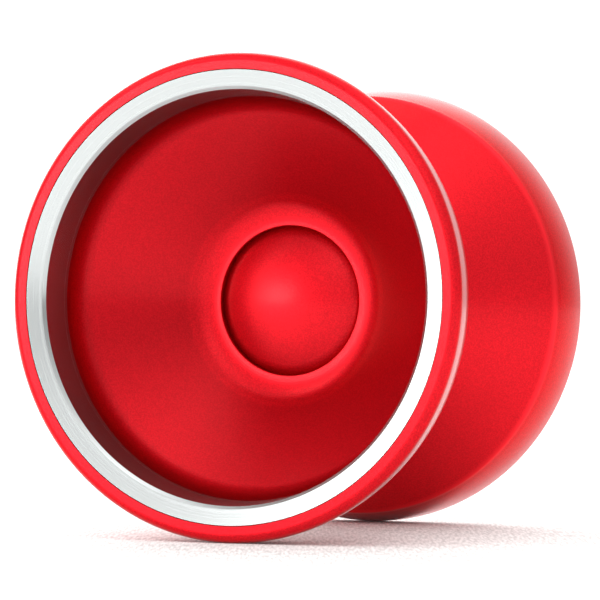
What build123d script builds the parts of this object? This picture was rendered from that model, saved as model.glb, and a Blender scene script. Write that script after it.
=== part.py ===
from build123d import *
import os
from math import asin, cos, pi, radians, sin, sqrt, tan

# Two-half metal yo-yo. The spin axis is Y and the origin is the middle of the bearing.
# Every turned piece is drawn as a section: first number radius, second number distance
# from the middle plane.

# Driving dimensions, in millimetres
diameter = 56.0
width = 46.4
string_gap = 4.3

# Rim: face, rounded shoulder, slightly bulged side and the crease where the catch wall starts
rim_shoulder = 1.05
crease_radius = 26.63
crease_offset = 16.44
crease_round = 0.8
rim_side_bulge = 0.28
catch_start_radius = 9.9
catch_wall_sag = 0.3

# Weight ring, pressed into a rebate in the rim. Its face is dished towards the axis.
ring_outer_radius = 26.05
ring_face_inner_radius = 24.13
ring_face_dish = 0.44
ring_lip_chamfer = 0.35
ring_bore_back = 23.4
ring_length = 5.25
ring_below_face = 0.05
ring_edge_break = 0.1

# Cup: cone floor, flat base and the domed hub in a round recess
cup_cone_angle = 39.5
cup_corner_round = 4.5
base_offset = 5.35
base_corner_radius = 10.8
base_round = 4.4
recess_radius = 9.0
recess_depth = 0.87
lip_round = 0.08
dome_radius = 21.2
dome_above_base = 1.4
dome_edge_radius = 7.2

# Ball bearing
bearing_bore = 6.35
bearing_diameter = 12.7
bearing_width = 4.763
ball_count = 10
ball_diameter = 1.588
inner_land_radius = 4.2
outer_land_radius = 5.3
race_clearance = 0.02
ring_chamfer = 0.2
rebate_radius = 5.8
rebate_offset = 1.9
shield_thickness = 0.18
shield_inner_radius = 4.32
snap_thickness = 0.2
snap_outer_radius = 5.95
snap_inner_radius = 5.45
snap_gap_angle = 22.0
cage_inner_radius = 4.5
cage_outer_radius = 5.02
cage_back = 1.15
cage_front = 0.45
pocket_clearance = 0.04

# Bearing seat, response pad and axle
seat_radius = 3.15
seat_shoulder_radius = 3.95
seat_end_gap = 0.2
seat_chamfer = 0.15
shoulder_clearance = 0.02
pocket_radius = 6.6
pocket_offset = 2.62
pad_inner_radius = 7.1
pad_outer_radius = 9.5
pad_thickness = 0.95
pad_below_face = 0.05
pad_edge_round = 0.15
axle_diameter = 4.0
axle_length = 10.0
axle_chamfer = 0.4
tapped_depth = 5.15
thread_clearance = 0.03
hex_across_flats = 2.0
hex_depth = 1.6

half_gap = string_gap / 2
rim_face = width / 2
outer_radius = diameter / 2
ring_front = rim_face - ring_below_face
ring_back = ring_front - ring_length
seat_shoulder = bearing_width / 2 + shoulder_clearance
pitch_radius = (bearing_bore + bearing_diameter) / 4
ball_radius = ball_diameter / 2
groove_radius = ball_radius + race_clearance
pad_face = half_gap + pad_below_face
pad_floor = pad_face + pad_thickness

# Each side's sketch plane has the spin axis as its second direction, pointing outwards
sides = {
    "front": Plane(origin=(0, 0, 0), x_dir=(1, 0, 0), z_dir=(0, 0, -1)),
    "back": Plane.XY,
}

os.makedirs("parts", exist_ok=True)


def write(piece, name):
    piece.part.label = name
    export_step(piece.part, f"parts/{name}.step")


def bulged(start, end, sag):
    """Middle point of a shallow arc that bows to the right of the way from start to end."""
    run = end[0] - start[0]
    rise = end[1] - start[1]
    length = sqrt(run**2 + rise**2)
    return (
        (start[0] + end[0]) / 2 + sag * rise / length,
        (start[1] + end[1]) / 2 - sag * run / length,
    )


# Aluminium halves. The stud is locked in the front half and turns freely in the back one.
catch_start = (catch_start_radius, half_gap)
crease = (crease_radius, crease_offset)
rim_side_end = (outer_radius, rim_face - rim_shoulder)
cone_height = (ring_bore_back - base_corner_radius) * tan(radians(cup_cone_angle))
groove_floor = base_offset - recess_depth
dome_top = base_offset + dome_above_base
dome_angle = asin(dome_edge_radius / dome_radius)
dome_edge = (dome_edge_radius, dome_top - dome_radius * (1 - cos(dome_angle)))
dome_middle = (
    dome_radius * sin(dome_angle / 2),
    dome_top - dome_radius * (1 - cos(dome_angle / 2)),
)
tapped_radius = {
    "front": axle_diameter / 2,
    "back": axle_diameter / 2 + thread_clearance,
}

for side, plane in sides.items():
    bore = tapped_radius[side]
    with BuildPart() as half:
        with BuildSketch(plane):
            with BuildLine():
                # Tapped hole, bearing seat, bearing pocket and pad groove
                Polyline(
                    (0, tapped_depth),
                    (bore, tapped_depth),
                    (bore, seat_end_gap + seat_chamfer),
                    (bore + seat_chamfer, seat_end_gap),
                    (seat_radius - seat_chamfer, seat_end_gap),
                    (seat_radius, seat_end_gap + seat_chamfer),
                    (seat_radius, seat_shoulder),
                    (seat_shoulder_radius, seat_shoulder),
                    (seat_shoulder_radius, pocket_offset),
                    (pocket_radius, pocket_offset),
                    (pocket_radius, half_gap),
                    (pad_inner_radius, half_gap),
                    (pad_inner_radius, pad_floor),
                    (pad_outer_radius, pad_floor),
                    (pad_outer_radius, half_gap),
                    catch_start,
                )
                # Catch wall and rim side
                ThreePointArc(catch_start, bulged(catch_start, crease, catch_wall_sag), crease)
                ThreePointArc(crease, bulged(crease, rim_side_end, rim_side_bulge), rim_side_end)
                CenterArc(
                    (outer_radius - rim_shoulder, rim_face - rim_shoulder),
                    rim_shoulder,
                    start_angle=0,
                    arc_size=90,
                )
                # Rim face, ring rebate, cup wall, cone floor, base and the groove round the dome
                FilletPolyline(
                    (outer_radius - rim_shoulder, rim_face),
                    (ring_outer_radius, rim_face),
                    (ring_outer_radius, ring_back),
                    (ring_bore_back, ring_back),
                    (ring_bore_back, base_offset + cone_height),
                    (base_corner_radius, base_offset),
                    (recess_radius, base_offset),
                    (recess_radius, groove_floor),
                    radius=[0, 0, 0, cup_corner_round, base_round, lip_round],
                )
                # Dome over the end of the axle, blended into the groove
                dome = ThreePointArc(dome_edge, dome_middle, (0, dome_top))
                TangentArc(dome_edge, (recess_radius, groove_floor), tangent=-(dome % 0))
                Line((0, dome_top), (0, tapped_depth))
            section = make_face()
            crease_corner = section.vertices().sort_by_distance(plane.from_local_coords(crease))[0]
            fillet(crease_corner, radius=crease_round)
        revolve(axis=Axis.Y)
    write(half, f"{side}_half")

# Steel weight rings
for side, plane in sides.items():
    with BuildPart() as weight_ring:
        with BuildSketch(plane):
            with BuildLine():
                Polyline(
                    (ring_outer_radius, ring_back),
                    (ring_outer_radius, ring_front - ring_edge_break),
                    (ring_outer_radius - ring_edge_break, ring_front),
                    (ring_face_inner_radius, ring_front - ring_face_dish),
                    (
                        ring_face_inner_radius - ring_lip_chamfer,
                        ring_front - ring_face_dish - ring_lip_chamfer,
                    ),
                    (ring_bore_back, ring_back),
                    close=True,
                )
            make_face()
        revolve(axis=Axis.Y)
    write(weight_ring, f"{side}_weight_ring")

# Silicone response pads, glued in their grooves
for side, plane in sides.items():
    with BuildPart() as pad:
        with BuildSketch(plane):
            with BuildLine():
                FilletPolyline(
                    (pad_inner_radius, pad_floor),
                    (pad_inner_radius, pad_face),
                    (pad_outer_radius, pad_face),
                    (pad_outer_radius, pad_floor),
                    radius=pad_edge_round,
                )
                Line((pad_outer_radius, pad_floor), (pad_inner_radius, pad_floor))
            make_face()
        revolve(axis=Axis.Y)
    write(pad, f"{side}_response_pad")

# Axle: a threaded stud with a hex socket in its back end
with BuildPart() as axle:
    with BuildSketch(Plane.XY):
        with BuildLine():
            Polyline(
                (0, -axle_length / 2),
                (axle_diameter / 2 - axle_chamfer, -axle_length / 2),
                (axle_diameter / 2, -axle_length / 2 + axle_chamfer),
                (axle_diameter / 2, axle_length / 2 - axle_chamfer),
                (axle_diameter / 2 - axle_chamfer, axle_length / 2),
                (0, axle_length / 2),
                close=True,
            )
        make_face()
    revolve(axis=Axis.Y)
    with BuildSketch(Plane.XZ.offset(-axle_length / 2)):
        RegularPolygon(radius=hex_across_flats / 2, side_count=6, major_radius=False)
    extrude(amount=hex_depth, mode=Mode.SUBTRACT)
write(axle, "axle")

# Bearing rings, each with a ball groove at the pitch circle
with BuildPart() as inner_ring:
    with BuildSketch(Plane.XY):
        with Locations(((bearing_bore / 2 + inner_land_radius) / 2, 0)):
            Rectangle(inner_land_radius - bearing_bore / 2, bearing_width)
        chamfer(vertices(), length=ring_chamfer)
        with Locations((pitch_radius, 0)):
            Circle(groove_radius, mode=Mode.SUBTRACT)
    revolve(axis=Axis.Y)
write(inner_ring, "bearing_inner_ring")

with BuildPart() as outer_ring:
    with BuildSketch(Plane.XY):
        with Locations(((outer_land_radius + bearing_diameter / 2) / 2, 0)):
            Rectangle(bearing_diameter / 2 - outer_land_radius, bearing_width)
        chamfer(vertices().group_by(Axis.X)[-1], length=ring_chamfer)
        with Locations((pitch_radius, 0)):
            Circle(groove_radius, mode=Mode.SUBTRACT)
        for direction in (-1, 1):
            rebate_length = bearing_width / 2 - rebate_offset
            with Locations(
                (
                    (outer_land_radius + rebate_radius) / 2,
                    direction * (rebate_offset + rebate_length / 2),
                )
            ):
                Rectangle(rebate_radius - outer_land_radius, rebate_length, mode=Mode.SUBTRACT)
            with Locations(
                (
                    (outer_land_radius + snap_outer_radius) / 2,
                    direction * (rebate_offset + shield_thickness + snap_thickness / 2),
                )
            ):
                Rectangle(snap_outer_radius - outer_land_radius, snap_thickness, mode=Mode.SUBTRACT)
    revolve(axis=Axis.Y)
write(outer_ring, "bearing_outer_ring")

# Shields sit against the step in the outer ring, each held by an open snap ring
for side, plane in sides.items():
    with BuildPart() as shield:
        with BuildSketch(plane):
            with Locations(
                (
                    (shield_inner_radius + rebate_radius) / 2,
                    rebate_offset + shield_thickness / 2,
                )
            ):
                Rectangle(rebate_radius - shield_inner_radius, shield_thickness)
        revolve(axis=Axis.Y)
    write(shield, f"{side}_bearing_shield")

    with BuildPart() as snap_ring:
        with BuildSketch(plane):
            with Locations(
                (
                    (snap_inner_radius + snap_outer_radius) / 2,
                    rebate_offset + shield_thickness + snap_thickness / 2,
                )
            ):
                Rectangle(snap_outer_radius - snap_inner_radius, snap_thickness)
        revolve(axis=Axis.Y, revolution_arc=360 - snap_gap_angle)
    write(snap_ring, f"{side}_snap_ring")

# Snap-in crown cage: pockets closed at the back and open at the front
ball_step = 2 * pi / ball_count
ball_centres = [
    (pitch_radius * cos(index * ball_step), 0, pitch_radius * sin(index * ball_step))
    for index in range(ball_count)
]

with BuildPart() as cage:
    with BuildSketch(Plane.XY):
        with Locations(((cage_inner_radius + cage_outer_radius) / 2, (cage_back - cage_front) / 2)):
            Rectangle(cage_outer_radius - cage_inner_radius, cage_back + cage_front)
    revolve(axis=Axis.Y)
    with Locations(*ball_centres):
        Sphere(ball_radius + pocket_clearance, mode=Mode.SUBTRACT)
write(cage, "bearing_cage")

for index, centre in enumerate(ball_centres, start=1):
    with BuildPart() as ball:
        with Locations(centre):
            Sphere(ball_radius)
    write(ball, f"bearing_ball_{index:02d}")
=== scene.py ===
from math import asin, atan2, ceil, cos, degrees, hypot, pi, radians, sin, tan

import bmesh
import bpy
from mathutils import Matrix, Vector


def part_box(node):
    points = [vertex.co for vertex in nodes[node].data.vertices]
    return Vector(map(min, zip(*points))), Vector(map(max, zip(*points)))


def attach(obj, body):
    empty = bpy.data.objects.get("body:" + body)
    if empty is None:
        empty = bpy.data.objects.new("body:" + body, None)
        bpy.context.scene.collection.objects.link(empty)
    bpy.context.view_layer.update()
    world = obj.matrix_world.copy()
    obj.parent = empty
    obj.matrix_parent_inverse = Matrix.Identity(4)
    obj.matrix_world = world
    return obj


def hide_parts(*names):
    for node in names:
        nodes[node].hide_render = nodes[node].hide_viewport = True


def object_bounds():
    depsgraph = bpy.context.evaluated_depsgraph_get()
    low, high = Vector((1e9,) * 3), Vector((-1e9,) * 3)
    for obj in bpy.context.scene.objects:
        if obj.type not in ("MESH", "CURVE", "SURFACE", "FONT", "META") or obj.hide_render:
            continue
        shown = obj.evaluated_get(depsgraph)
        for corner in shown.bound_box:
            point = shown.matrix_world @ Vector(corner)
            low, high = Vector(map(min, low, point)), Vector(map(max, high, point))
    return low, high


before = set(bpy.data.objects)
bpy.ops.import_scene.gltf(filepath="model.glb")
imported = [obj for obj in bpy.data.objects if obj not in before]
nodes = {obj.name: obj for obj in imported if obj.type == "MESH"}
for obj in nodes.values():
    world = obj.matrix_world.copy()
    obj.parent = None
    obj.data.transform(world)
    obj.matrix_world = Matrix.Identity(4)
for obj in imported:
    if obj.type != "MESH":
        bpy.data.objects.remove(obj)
cad_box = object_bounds()
scene = bpy.context.scene

MM = 0.001
SIDES = {"front": -1, "back": 1}

# ---------------------------------------------------------------- sizes, in millimetres
# The spin axis is Y. An outline is a list of (radius, distance from the middle plane).
OUTER_RADIUS = (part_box("front_half")[1].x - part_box("front_half")[0].x) / 2 / MM
RIM_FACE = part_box("back_half")[1].y / MM
HALF_GAP = 2.15
RIM_SHOULDER = 1.05
CREASE = (26.63, 16.44)
CREASE_ROUND = 0.8
RIM_SIDE_BULGE = 0.28
CATCH_START = (9.9, HALF_GAP)
CATCH_SAG = 0.3

RING_OUTER = 26.05
RING_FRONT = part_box("back_weight_ring")[1].y / MM
RING_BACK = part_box("back_weight_ring")[0].y / MM
RING_FACE_INNER = 24.13
RING_FACE_DISH = 0.44
RING_LIP_CHAMFER = 0.35
RING_BORE_BACK = 23.4
RING_EDGE_BREAK = 0.1
RING_SEAM = 0.5
REBATE_EDGE_RUN = 0.1
REBATE_EDGE_ROUND = 0.06

CONE_ANGLE = 39.5
CUP_CORNER_ROUND = 4.5
BASE = 5.35
BASE_CORNER = 10.8
BASE_ROUND = 4.4
RECESS_RADIUS = 9.0
RECESS_DEPTH = 0.87
LIP_ROUND = 0.14
DOME_RADIUS = 21.2
DOME_ABOVE_BASE = 1.4
DOME_TOP = BASE + DOME_ABOVE_BASE
DOME_EDGE_RADIUS = 7.7

TAP_RADIUS = 2.0
TAP_END = 5.15
SPIGOT_FACE = 0.2
SPIGOT_RADIUS = 3.15
SPIGOT_CHAMFER = 0.15
BEARING_SHOULDER = (3.95, 2.4015)
SEAT_RADIUS = 6.6
SEAT_FLOOR = 2.62
PAD_GROOVE_INNER = 7.1
PAD_GROOVE_OUTER = 9.5
PAD_GROOVE_FLOOR = 3.15

AXLE_RADIUS = 2.0
AXLE_HALF_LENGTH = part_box("axle")[1].y / MM
AXLE_CHAMFER = 0.4
THREAD_PITCH = 0.7
THREAD_DEPTH = 0.43
THREAD_CREST = 0.125
THREAD_FLANK = 0.625
THREAD_PLAY = 0.01
HEX_APOTHEM = 1.0
HEX_DEPTH = 1.6

SHIELD_INNER = 4.32
SHIELD_OUTER = 5.8
SHIELD_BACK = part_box("back_bearing_shield")[0].y / MM
SHIELD_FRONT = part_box("back_bearing_shield")[1].y / MM
SHIELD_STEP = 0.07
SHIELD_BEND = 5.05
SHIELD_BEND_WIDTH = 0.15
SHIELD_METAL = 0.1

TURNS = 240
SMALL_TURNS = 144

# ---------------------------------------------------------------- colours and finishes
RED_DYE = (0.46, 0.0056, 0.0109)
RED_ROUGHNESS = 0.43
GLANCING_TINT = (0.45, 0.03, 0.05)
SPARKLE = 0.16
COAT_FACING = 0.09
COAT_GLANCING = 0.75
COAT_ROUGHNESS = 0.19

# The cone of the cup has painted shade: its dye is a little darker down in the hollow, and the sharp
# edge at the hub paints a step of shade where the hub's fillet starts. Each pair is where the painted
# shade starts and where it is full.
CUP_PAINTED_SHADE = 0.85
CUP_PAINTED_SHADE_DEPTH = (-1.2 * MM, -0.8 * MM)
CUP_PAINTED_SHADE_HUB = (12.55 * MM, 12.95 * MM)
CUP_PAINTED_SHADE_RIM = (23.6 * MM, 23.5 * MM)

# The crease has a painted highlight: a brighter dye, and a smoother finish
CREASE_HIGHLIGHT_DYE = (0.60, 0.013, 0.020)
CREASE_SMOOTHNESS = 0.75
CREASE_HIGHLIGHT_WIDTH = (0.5 * MM, 0.1 * MM)
CREASE_HIGHLIGHT_RADIUS = (25.7 * MM, 26.0 * MM)

STEEL_COLOUR = (0.328, 0.342, 0.339)
STEEL_ROUGHNESS = (0.19, 0.28)
STEEL_ANISOTROPY = 0.7

# ---------------------------------------------------------------- floor, light and view
# The floor is lighter to the light that it throws back than it looks itself
FLOOR_HALF_SIZE = 7.5
FLOOR_BOUNCE = 0.9
FLOOR_SHOWN = 0.6
FLOOR_TINT = (1.0, 0.985, 0.97)
FLOOR_GRAIN = 0.18
FLOOR_GRAIN_TURN = 23
FLOOR_GRAIN_SIZE = (0.34 * MM, 3.2 * MM, 1 * MM)

BACKDROP = 1.2
AMBIENT = 0.76
# Azimuth and elevation, spread in degrees, strength
LIGHTS = {
    "low window, left": (-33, 4, 4.7, 12),
    "low window, right": (-22, 4, 4.7, 12),
    "glow round the window": (-28, 3, 7.4, 8),
    "glow beside the window": (-45, 4, 8, 3.6),
    "high softbox": (-50, 36, 10.5, 5.8),
    "left fill": (-96, 23, 13.5, 2),
    "front fill": (18, 28, 13, 2.8),
    "right fill": (84, 24, 14.5, 1.25),
    "back left, low": (-137, 4, 17.5, 4.6),
    "back left": (-135, 30, 14.3, 6),
    "back left, high": (-150, 60, 14.3, 4),
    "back right": (157, 25, 22, 1.8),
    "ceiling": (44, 74, 21, 3.6),
}

VIEW_AZIMUTH = 23.08
VIEW_ELEVATION = -1.341
VIEW_DISTANCE = 0.31397
AIM_RIGHT = -0.00078
AIM_UP = 0.000171
LENS = 154.4
SENSOR = 36


# ---------------------------------------------------------------- outlines
def arc_points(centre, radius, start, end, step=4.0):
    """Points on a circle from start to end, in degrees."""
    count = max(2, ceil(abs(end - start) / step))
    return [
        (
            centre[0] + radius * cos(radians(start + (end - start) * i / count)),
            centre[1] + radius * sin(radians(start + (end - start) * i / count)),
        )
        for i in range(count + 1)
    ]


def bowed(start, end, sag, count=24):
    """A shallow arc from start to end that bows to the right of the way by sag."""
    run, rise = end[0] - start[0], end[1] - start[1]
    length = hypot(run, rise)
    radius = length**2 / (8 * sag) + sag / 2
    side = (rise / length, -run / length)
    middle = ((start[0] + end[0]) / 2, (start[1] + end[1]) / 2)
    centre = (middle[0] - side[0] * (radius - sag), middle[1] - side[1] * (radius - sag))
    first = degrees(atan2(start[1] - centre[1], start[0] - centre[0]))
    last = degrees(atan2(end[1] - centre[1], end[0] - centre[0]))
    last = first + (last - first + 180) % 360 - 180
    return arc_points(centre, radius, first, last, abs(last - first) / count)


def tangent_arc(start, slope, end, count=16):
    """An arc from start to end that leaves start at slope, in degrees."""
    chord = atan2(end[1] - start[1], end[0] - start[0])
    turn = chord - radians(slope)
    radius = hypot(end[0] - start[0], end[1] - start[1]) / (2 * sin(abs(turn)))
    side = 1 if turn > 0 else -1
    heading = radians(slope) + side * pi / 2
    centre = (start[0] + radius * cos(heading), start[1] + radius * sin(heading))
    first = degrees(heading + pi)
    return arc_points(centre, radius, first, first + degrees(2 * turn), 2 * abs(degrees(turn)) / count)


def rounded(points, radii, step=4.0):
    """An open outline through points whose inner corners are rounded by radii."""
    out = [points[0]]
    for before, corner, after, radius in zip(points, points[1:], points[2:], radii):
        if not radius:
            out.append(corner)
            continue
        a = Vector(before) - Vector(corner)
        b = Vector(after) - Vector(corner)
        a.normalize()
        b.normalize()
        half = a.angle(b) / 2
        centre = Vector(corner) + (a + b).normalized() * (radius / sin(half))
        start = Vector(corner) + a * (radius / tan(half)) - centre
        end = Vector(corner) + b * (radius / tan(half)) - centre
        first = degrees(atan2(start.y, start.x))
        turn = (degrees(atan2(end.y, end.x)) - first + 180) % 360 - 180
        out += arc_points(centre, radius, first, first + turn, step)
    return out + [points[-1]]


def supported(outline, longest=1.2, edge=0.03):
    """Splits long straight runs, with a short first and last piece, so shading stays flat."""
    out = [outline[0]]
    for start, end in zip(outline, outline[1:]):
        length = hypot(end[0] - start[0], end[1] - start[1])
        if length < 1e-6:
            continue
        marks = []
        if length > 6 * edge:
            count = max(1, ceil(length / longest))
            inner = [edge + (length - 2 * edge) * i / count for i in range(count + 1)]
            marks = [distance / length for distance in inner]
        for mark in marks + [1.0]:
            out.append((start[0] + (end[0] - start[0]) * mark, start[1] + (end[1] - start[1]) * mark))
    return out


# ---------------------------------------------------------------- turning
def skin(name, rings, closed=False, sharp=35.0):
    """A surface over rings of points in metres. A ring of one point is a pole."""
    mesh = bpy.data.meshes.new(name)
    bm = bmesh.new()
    turns = max(len(ring) for ring in rings)
    rows = []
    for ring in rings:
        verts = [bm.verts.new(point) for point in ring]
        rows.append(verts if len(verts) == turns else verts * turns)
    pairs = list(zip(rows, rows[1:]))
    if closed:
        pairs.append((rows[-1], rows[0]))
    for lower, upper in pairs:
        for i in range(turns):
            j = (i + 1) % turns
            corners = []
            for vert in (lower[i], lower[j], upper[j], upper[i]):
                if vert not in corners:
                    corners.append(vert)
            if len(corners) > 2:
                bm.faces.new(corners)
    bmesh.ops.recalc_face_normals(bm, faces=bm.faces)
    bm.to_mesh(mesh)
    bm.free()
    mesh.polygons.foreach_set("use_smooth", [True] * len(mesh.polygons))
    mesh.set_sharp_from_angle(angle=radians(sharp))
    piece = bpy.data.objects.new(name, mesh)
    scene.collection.objects.link(piece)
    return piece


def ring_at(radii, distance):
    """A ring about Y at a distance, in millimetres, with one radius for each column."""
    count = len(radii)
    return [
        (r * MM * cos(2 * pi * i / count), distance * MM, r * MM * sin(2 * pi * i / count))
        for i, r in enumerate(radii)
    ]


def lathe(name, outline, side=1, closed=False, turns=TURNS, sharp=35.0):
    """Turns an outline about Y. side -1 mirrors it to the front. Radius 0 is a pole."""
    rings = []
    for radius, distance in outline:
        if radius < 1e-6:
            rings.append([(0, side * distance * MM, 0)])
        else:
            rings.append(ring_at([radius] * turns, side * distance))
    return skin(name, rings, closed, sharp)


def place(piece, material, body, slot, *replaced):
    piece.data.materials.clear()
    piece.data.materials.append(material)
    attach(piece, body)
    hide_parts(*replaced)


# ---------------------------------------------------------------- materials
def new_material(name, colour, metallic, roughness):
    material = bpy.data.materials.new(name)
    material.use_nodes = True
    shader = material.node_tree.nodes["Principled BSDF"]
    shader.inputs["Base Color"].default_value = (*colour, 1)
    shader.inputs["Metallic"].default_value = metallic
    shader.inputs["Roughness"].default_value = roughness
    return material, material.node_tree, shader


def shaded(colour, factor):
    return tuple(factor * value for value in colour)


def add(tree, kind, **inputs):
    node = tree.nodes.new(kind)
    for key, value in inputs.items():
        node.inputs[key.replace("_", " ")].default_value = value
    return node


def noise(tree, vector, scale, detail=2.0, rough=0.5):
    node = add(tree, "ShaderNodeTexNoise", Scale=scale, Detail=detail, Roughness=rough)
    tree.links.new(vector, node.inputs["Vector"])
    return node.outputs["Fac"]


def ramp(tree, value, low, high, to_low=0.0, to_high=1.0):
    node = tree.nodes.new("ShaderNodeMapRange")
    node.inputs["From Min"].default_value = low
    node.inputs["From Max"].default_value = high
    node.inputs["To Min"].default_value = to_low
    node.inputs["To Max"].default_value = to_high
    tree.links.new(value, node.inputs["Value"])
    return node.outputs["Result"]


def maths(tree, operation, first, second=0):
    """A maths node. An operand is a number or a socket."""
    node = tree.nodes.new("ShaderNodeMath")
    node.operation = operation
    for socket, operand in zip(node.inputs, (first, second)):
        if isinstance(operand, (int, float)):
            socket.default_value = operand
        else:
            tree.links.new(operand, socket)
    return node.outputs[0]


def blend_colours(tree, factor, first, second):
    node = tree.nodes.new("ShaderNodeMix")
    node.data_type = "RGBA"
    colours = [socket for socket in node.inputs if socket.type == "RGBA"]
    for socket, colour in zip(colours, (first, second)):
        if isinstance(colour, tuple):
            socket.default_value = (*colour, 1)
        else:
            tree.links.new(colour, socket)
    tree.links.new(factor, node.inputs[0])
    return [socket for socket in node.outputs if socket.type == "RGBA"][0]


def multiplied(tree, first, second):
    node = tree.nodes.new("ShaderNodeVectorMath")
    node.operation = "MULTIPLY"
    tree.links.new(first, node.inputs[0])
    tree.links.new(second, node.inputs[1])
    return node.outputs["Vector"]


def bump(tree, shader, height, strength, distance):
    node = add(tree, "ShaderNodeBump", Strength=strength, Distance=distance)
    tree.links.new(height, node.inputs["Height"])
    tree.links.new(node.outputs["Normal"], shader.inputs["Normal"])


def object_space(tree):
    return tree.nodes.new("ShaderNodeTexCoord").outputs["Object"]


def turned_space(tree):
    """(radius, 0, distance along Y): noise in it makes the rings a lathe tool leaves."""
    split = tree.nodes.new("ShaderNodeSeparateXYZ")
    tree.links.new(object_space(tree), split.inputs["Vector"])
    across = maths(tree, "MULTIPLY", split.outputs["X"], split.outputs["X"])
    down = maths(tree, "MULTIPLY", split.outputs["Z"], split.outputs["Z"])
    radius = maths(tree, "SQRT", maths(tree, "ADD", across, down))
    line = tree.nodes.new("ShaderNodeCombineXYZ")
    tree.links.new(radius, line.inputs["X"])
    tree.links.new(split.outputs["Y"], line.inputs["Z"])
    return line.outputs["Vector"]


def cup_floor(tree):
    """1 on the cone inside a cup, where shade is painted, 0 on the hub, the rim and the outside of the
    half.
    """
    split = tree.nodes.new("ShaderNodeSeparateXYZ")
    tree.links.new(turned_space(tree), split.inputs["Vector"])
    radius = split.outputs["X"]
    distance = maths(tree, "ABSOLUTE", split.outputs["Z"])
    slope = tan(radians(CONE_ANGLE))
    rise = maths(tree, "MULTIPLY", radius, slope)
    cone = maths(tree, "ADD", rise, (BASE - BASE_CORNER * slope) * MM)
    inside = ramp(tree, maths(tree, "SUBTRACT", distance, cone), *CUP_PAINTED_SHADE_DEPTH)
    from_hub = ramp(tree, radius, *CUP_PAINTED_SHADE_HUB)
    to_rim = ramp(tree, radius, *CUP_PAINTED_SHADE_RIM)
    return maths(tree, "MULTIPLY", maths(tree, "MULTIPLY", inside, from_hub), to_rim)


def crease(tree):
    """1 on the crease between the catch wall and the rim side, fading out on both sides: where a
    highlight is painted.
    """
    split = tree.nodes.new("ShaderNodeSeparateXYZ")
    tree.links.new(turned_space(tree), split.inputs["Vector"])
    distance = maths(tree, "ABSOLUTE", split.outputs["Z"])
    off = maths(tree, "ABSOLUTE", maths(tree, "SUBTRACT", distance, CREASE[1] * MM))
    outside = ramp(tree, split.outputs["X"], *CREASE_HIGHLIGHT_RADIUS)
    return maths(tree, "MULTIPLY", ramp(tree, off, *CREASE_HIGHLIGHT_WIDTH), outside)


def anodised():
    """Bead-blasted aluminium, dyed red, with a clear skin that shows most at a glancing angle."""
    material, tree, shader = new_material("red_anodised_aluminium", RED_DYE, 1.0, RED_ROUGHNESS)
    place_in = object_space(tree)
    grain = noise(tree, place_in, scale=8000, detail=3.0, rough=0.65)
    patch = noise(tree, place_in, scale=110)
    colour = blend_colours(tree, patch, shaded(RED_DYE, 0.94), shaded(RED_DYE, 1.06))
    # Painted shade: a darker dye on the cone inside the cup
    colour = blend_colours(tree, cup_floor(tree), colour, shaded(RED_DYE, CUP_PAINTED_SHADE))
    speck = noise(tree, place_in, scale=5200, rough=0.7)
    spark = blend_colours(tree, ramp(tree, speck, 0.38, 0.62), (1 - SPARKLE,) * 3, (1 + SPARKLE,) * 3)
    colour = multiplied(tree, colour, spark)
    # Painted highlight: a brighter dye along the crease, which is also made smoother
    crease_highlight = crease(tree)
    colour = blend_colours(tree, crease_highlight, colour, CREASE_HIGHLIGHT_DYE)
    tree.links.new(colour, shader.inputs["Base Color"])
    rough = ramp(tree, grain, 0.3, 0.7, RED_ROUGHNESS - 0.03, RED_ROUGHNESS + 0.03)
    smoother = ramp(tree, crease_highlight, 0, 1, 1.0, CREASE_SMOOTHNESS)
    tree.links.new(maths(tree, "MULTIPLY", rough, smoother), shader.inputs["Roughness"])
    bump(tree, shader, grain, strength=0.3, distance=0.02 * MM)
    shader.inputs["Specular Tint"].default_value = (*GLANCING_TINT, 1)
    facing = add(tree, "ShaderNodeLayerWeight", Blend=0.5).outputs["Facing"]
    glancing = ramp(tree, facing, 0.28, 0.7)
    tree.links.new(ramp(tree, glancing, 0, 1, COAT_FACING, COAT_GLANCING), shader.inputs["Coat Weight"])
    shader.inputs["Coat Roughness"].default_value = COAT_ROUGHNESS
    return material


def turned_steel():
    material, tree, shader = new_material("turned_steel", STEEL_COLOUR, 1.0, STEEL_ROUGHNESS[0])
    lines = turned_space(tree)
    fine = noise(tree, lines, scale=12000, rough=0.6)
    coarse = noise(tree, lines, scale=3500, rough=0.6)
    tree.links.new(ramp(tree, fine, 0.3, 0.7, *STEEL_ROUGHNESS), shader.inputs["Roughness"])
    shade = blend_colours(tree, coarse, shaded(STEEL_COLOUR, 0.95), shaded(STEEL_COLOUR, 1.05))
    tree.links.new(shade, shader.inputs["Base Color"])
    bump(tree, shader, fine, strength=0.05, distance=0.006 * MM)
    around = tree.nodes.new("ShaderNodeTangent")
    around.direction_type = "RADIAL"
    around.axis = "Y"
    tree.links.new(around.outputs["Tangent"], shader.inputs["Tangent"])
    shader.inputs["Anisotropic"].default_value = STEEL_ANISOTROPY
    shader.inputs["Anisotropic Rotation"].default_value = 0.25
    return material


def simple(name, colour, metallic, roughness, scale=4000, depth=0.01 * MM):
    """An even material with a fine grain. scale is the grain's, depth is the bump's."""
    material, tree, shader = new_material(name, colour, metallic, roughness)
    place_in = object_space(tree)
    grain = noise(tree, place_in, scale, detail=3.0, rough=0.6)
    patch = noise(tree, place_in, scale / 12)
    shade = blend_colours(tree, patch, shaded(colour, 0.93), shaded(colour, 1.07))
    tree.links.new(shade, shader.inputs["Base Color"])
    rough = ramp(tree, grain, 0.3, 0.7, 0.8 * roughness, 1.2 * roughness)
    tree.links.new(rough, shader.inputs["Roughness"])
    bump(tree, shader, grain, strength=0.08, distance=depth)
    return material


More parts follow.
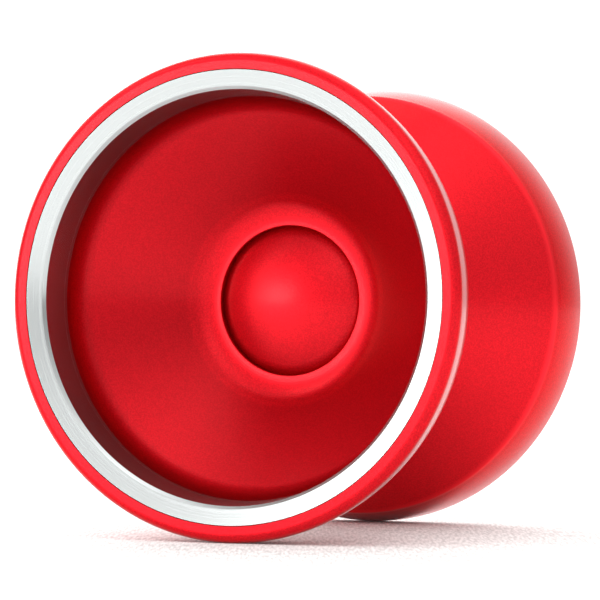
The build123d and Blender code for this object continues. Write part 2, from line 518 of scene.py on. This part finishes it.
RED = anodised()
STEEL = turned_steel()
BEARING = simple("ground_bearing_steel", (0.55, 0.55, 0.54), 1.0, 0.16)
PRESSED = simple("pressed_shield_steel", (0.46, 0.46, 0.46), 1.0, 0.28)
BALL = simple("polished_ball_steel", (0.62, 0.62, 0.63), 1.0, 0.06, 6000, 0.002 * MM)
NYLON = simple("cage_nylon", (0.72, 0.70, 0.62), 0.0, 0.5)
SILICONE = simple("pad_silicone", (0.80, 0.80, 0.78), 0.0, 0.55)
AXLE = simple("axle_steel", (0.22, 0.22, 0.23), 1.0, 0.3)


# ---------------------------------------------------------------- halves
def half_outline():
    """From the foot of the catch wall, over the rim and down the cup to the dome's top."""
    groove = BASE - RECESS_DEPTH
    dome_angle = asin(DOME_EDGE_RADIUS / DOME_RADIUS)
    dome_edge = (DOME_EDGE_RADIUS, DOME_TOP - DOME_RADIUS * (1 - cos(dome_angle)))
    cone = (RING_BORE_BACK - BASE_CORNER) * tan(radians(CONE_ANGLE))
    rim_side_end = (OUTER_RADIUS, RIM_FACE - RIM_SHOULDER)
    catch = bowed(CATCH_START, CREASE, CATCH_SAG)
    rim = bowed(CREASE, rim_side_end, RIM_SIDE_BULGE, count=12)
    outline = catch[:-2] + rounded([catch[-3], CREASE, rim[2]], [CREASE_ROUND], step=3)[1:-1] + rim[2:]
    shoulder = (OUTER_RADIUS - RIM_SHOULDER, RIM_FACE - RIM_SHOULDER)
    outline += arc_points(shoulder, RIM_SHOULDER, 0, 90)[1:]
    outline += rounded(
        [
            (RING_OUTER + REBATE_EDGE_RUN, RIM_FACE),
            (RING_OUTER, RIM_FACE),
            (RING_OUTER, RING_BACK),
            (RING_BORE_BACK, RING_BACK),
            (RING_BORE_BACK, BASE + cone),
            (BASE_CORNER, BASE),
            (RECESS_RADIUS, BASE),
            (RECESS_RADIUS, groove),
        ],
        [REBATE_EDGE_ROUND, 0, 0, CUP_CORNER_ROUND, BASE_ROUND, LIP_ROUND],
    )
    outline += tangent_arc(dome_edge, -degrees(dome_angle), (RECESS_RADIUS, groove))[-2::-1]
    centre = (0, DOME_TOP - DOME_RADIUS)
    outline += arc_points(centre, DOME_RADIUS, 90 - degrees(dome_angle), 90, step=1.5)[1:]
    outline[-1] = (0, DOME_TOP)
    return outline


def seat_outline():
    """From the bottom of the tapped hole, over the bearing seat and the pad groove."""
    return [
        (0, TAP_END),
        (TAP_RADIUS, TAP_END),
        (TAP_RADIUS, SPIGOT_FACE + SPIGOT_CHAMFER),
        (TAP_RADIUS + SPIGOT_CHAMFER, SPIGOT_FACE),
        (SPIGOT_RADIUS - SPIGOT_CHAMFER, SPIGOT_FACE),
        (SPIGOT_RADIUS, SPIGOT_FACE + SPIGOT_CHAMFER),
        (SPIGOT_RADIUS, BEARING_SHOULDER[1]),
        BEARING_SHOULDER,
        (BEARING_SHOULDER[0], SEAT_FLOOR),
        (SEAT_RADIUS, SEAT_FLOOR),
        (SEAT_RADIUS, HALF_GAP),
        (PAD_GROOVE_INNER, HALF_GAP),
        (PAD_GROOVE_INNER, PAD_GROOVE_FLOOR),
        (PAD_GROOVE_OUTER, PAD_GROOVE_FLOOR),
        (PAD_GROOVE_OUTER, HALF_GAP),
    ]


for side, sign in SIDES.items():
    shell = lathe(f"{side}_half_shell", supported(seat_outline() + half_outline()), sign)
    place(shell, RED, f"{side}_body", "anodised_aluminium", f"{side}_half")

for side, sign in SIDES.items():
    outline = rounded(
        [
            (RING_OUTER - RING_SEAM, RING_BACK),
            (RING_OUTER, RING_BACK),
            (RING_OUTER, RING_FRONT - RING_EDGE_BREAK),
            (RING_OUTER - RING_EDGE_BREAK, RING_FRONT),
            (RING_FACE_INNER, RING_FRONT - RING_FACE_DISH),
            (RING_FACE_INNER - RING_LIP_CHAMFER, RING_FRONT - RING_FACE_DISH - RING_LIP_CHAMFER),
            (RING_BORE_BACK, RING_BACK),
        ],
        [0.05, 0.02, 0.02, 0.06, 0.06],
        step=15,
    )
    ring = lathe(f"{side}_steel_ring", supported(outline), sign, closed=True)
    place(ring, STEEL, f"{side}_body", "weight_ring_steel", f"{side}_weight_ring")


# ---------------------------------------------------------------- axle and bearing shields
def thread_radius(distance, turn):
    """Radius of the stud at a distance along Y, with turn going from 0 to 1 about Y."""
    phase = (distance / THREAD_PITCH + turn) % 1
    depth = min(1, max(0, (abs(phase - 0.5) * 2 - THREAD_CREST) / THREAD_FLANK))
    chamfered = AXLE_RADIUS - AXLE_CHAMFER + AXLE_HALF_LENGTH - abs(distance)
    return min(AXLE_RADIUS - THREAD_PLAY - THREAD_DEPTH * depth, chamfered)


def threaded_stud():
    columns = 96
    rows_per_turn = 14
    rows = rows_per_turn * round(2 * AXLE_HALF_LENGTH / THREAD_PITCH)
    hexagon = [
        HEX_APOTHEM / cos((2 * pi * i / columns) % (pi / 3) - pi / 6) for i in range(columns)
    ]
    rings = [[(0, -AXLE_HALF_LENGTH * MM, 0)]]
    for row in range(rows + 1):
        distance = AXLE_HALF_LENGTH * (2 * row / rows - 1)
        rings.append(
            ring_at([thread_radius(distance, i / columns) for i in range(columns)], distance)
        )
    for distance in (AXLE_HALF_LENGTH, AXLE_HALF_LENGTH - HEX_DEPTH):
        rings.append(ring_at(hexagon, distance))
    rings.append([(0, (AXLE_HALF_LENGTH - HEX_DEPTH) * MM, 0)])
    return skin("threaded_stud", rings)


place(threaded_stud(), AXLE, "front_body", "axle_steel", "axle")

for side, sign in SIDES.items():
    outline = rounded(
        [
            (SHIELD_OUTER - SHIELD_METAL, SHIELD_BACK),
            (SHIELD_OUTER, SHIELD_BACK),
            (SHIELD_OUTER, SHIELD_FRONT - SHIELD_STEP),
            (SHIELD_BEND + SHIELD_BEND_WIDTH, SHIELD_FRONT - SHIELD_STEP),
            (SHIELD_BEND, SHIELD_FRONT),
            (SHIELD_INNER, SHIELD_FRONT),
            (SHIELD_INNER, SHIELD_BACK + SHIELD_STEP),
            (SHIELD_BEND - SHIELD_METAL, SHIELD_BACK + SHIELD_STEP),
            (SHIELD_BEND - SHIELD_METAL + SHIELD_BEND_WIDTH, SHIELD_BACK),
        ],
        [0.02, 0.02, 0.08, 0.08, 0.03, 0.03, 0.05],
        step=20,
    )
    outline = supported(outline, longest=0.4)
    shield = lathe(f"{side}_pressed_shield", outline, sign, closed=True, turns=SMALL_TURNS)
    place(shield, PRESSED, "bearing_outer", "bearing_steel", f"{side}_bearing_shield")

# The other small parts are shown as their CAD nodes
for name, node in nodes.items():
    if name.endswith(("_half", "weight_ring", "_shield")) or name == "axle":
        continue
    material = BEARING
    if "pad" in name:
        material = SILICONE
    elif "cage" in name:
        material = NYLON
    elif "ball" in name:
        material = BALL
    node.data.materials.clear()
    node.data.materials.append(material)


# ---------------------------------------------------------------- stage, light and camera
def direction(azimuth, elevation):
    """Unit vector from the object: azimuth 0 is towards -Y, positive towards +X."""
    a, e = radians(azimuth), radians(elevation)
    return Vector((sin(a) * cos(e), -cos(a) * cos(e), sin(e)))


def floor(size):
    mesh = bpy.data.meshes.new("floor")
    z = cad_box[0].z
    corners = [(-size, -size, z), (size, -size, z), (size, size, z), (-size, size, z)]
    mesh.from_pydata(corners, [], [(0, 1, 2, 3)])
    piece = bpy.data.objects.new("floor", mesh)
    scene.collection.objects.link(piece)
    material, tree, shader = new_material("floor_paper", (FLOOR_BOUNCE,) * 3, 0.0, roughness=0.9)
    shader.inputs["Specular IOR Level"].default_value = 0.1
    turned = add(tree, "ShaderNodeMapping", Rotation=(0, 0, radians(FLOOR_GRAIN_TURN)))
    turned.vector_type = "TEXTURE"
    turned.inputs["Scale"].default_value = FLOOR_GRAIN_SIZE
    tree.links.new(object_space(tree), turned.inputs["Vector"])
    tooth = noise(tree, turned.outputs["Vector"], scale=1.0, detail=3.0, rough=0.6)
    shown = blend_colours(
        tree,
        ramp(tree, tooth, 0.38, 0.62),
        shaded(FLOOR_TINT, FLOOR_SHOWN * (1 - FLOOR_GRAIN)),
        shaded(FLOOR_TINT, FLOOR_SHOWN * (1 + FLOOR_GRAIN)),
    )
    camera_ray = tree.nodes.new("ShaderNodeLightPath").outputs["Is Camera Ray"]
    colour = blend_colours(tree, camera_ray, (FLOOR_BOUNCE,) * 3, shown)
    tree.links.new(colour, shader.inputs["Base Color"])
    bump(tree, shader, tooth, strength=0.3, distance=0.2 * MM)
    piece.data.materials.append(material)


def studio(lights, ambient):
    """Soft lights all round as a world, each a round glow that fades with its spread."""
    world = bpy.data.worlds.new("studio")
    scene.world = world
    world.use_nodes = True
    tree = world.node_tree
    tree.nodes.clear()
    out = tree.nodes.new("ShaderNodeOutputWorld")
    ray = tree.nodes.new("ShaderNodeTexCoord").outputs["Generated"]
    total = ambient
    for azimuth, elevation, spread, strength in lights.values():
        sharpness = 1 / radians(spread) ** 2
        towards = tree.nodes.new("ShaderNodeVectorMath")
        towards.operation = "DOT_PRODUCT"
        towards.inputs[1].default_value = direction(azimuth, elevation)
        tree.links.new(ray, towards.inputs[0])
        away = maths(tree, "SUBTRACT", towards.outputs["Value"], 1)
        glow = maths(tree, "EXPONENT", maths(tree, "MULTIPLY", away, sharpness))
        total = maths(tree, "ADD", maths(tree, "MULTIPLY", glow, strength), total)
    light = tree.nodes.new("ShaderNodeBackground")
    tree.links.new(total, light.inputs["Strength"])
    seen = add(tree, "ShaderNodeBackground", Color=(1, 1, 1, 1), Strength=BACKDROP)
    pick = tree.nodes.new("ShaderNodeMixShader")
    path = tree.nodes.new("ShaderNodeLightPath")
    tree.links.new(path.outputs["Is Camera Ray"], pick.inputs["Fac"])
    tree.links.new(light.outputs["Background"], pick.inputs[1])
    tree.links.new(seen.outputs["Background"], pick.inputs[2])
    tree.links.new(pick.outputs["Shader"], out.inputs["Surface"])


floor(FLOOR_HALF_SIZE)
studio(LIGHTS, AMBIENT)

scene.view_settings.view_transform = "Standard"

camera_data = bpy.data.cameras.new("camera")
camera = bpy.data.objects.new("camera", camera_data)
scene.collection.objects.link(camera)
back = direction(VIEW_AZIMUTH, VIEW_ELEVATION)
right = Vector((cos(radians(VIEW_AZIMUTH)), sin(radians(VIEW_AZIMUTH)), 0))
up = back.cross(right)
camera.location = back * VIEW_DISTANCE + right * AIM_RIGHT + up * AIM_UP
camera.rotation_mode = "QUATERNION"
camera.rotation_quaternion = (-back).to_track_quat("-Z", "Y")
camera_data.lens = LENS
camera_data.sensor_width = SENSOR
camera_data.clip_start = 0.01
camera_data.clip_end = 20
scene.camera = camera
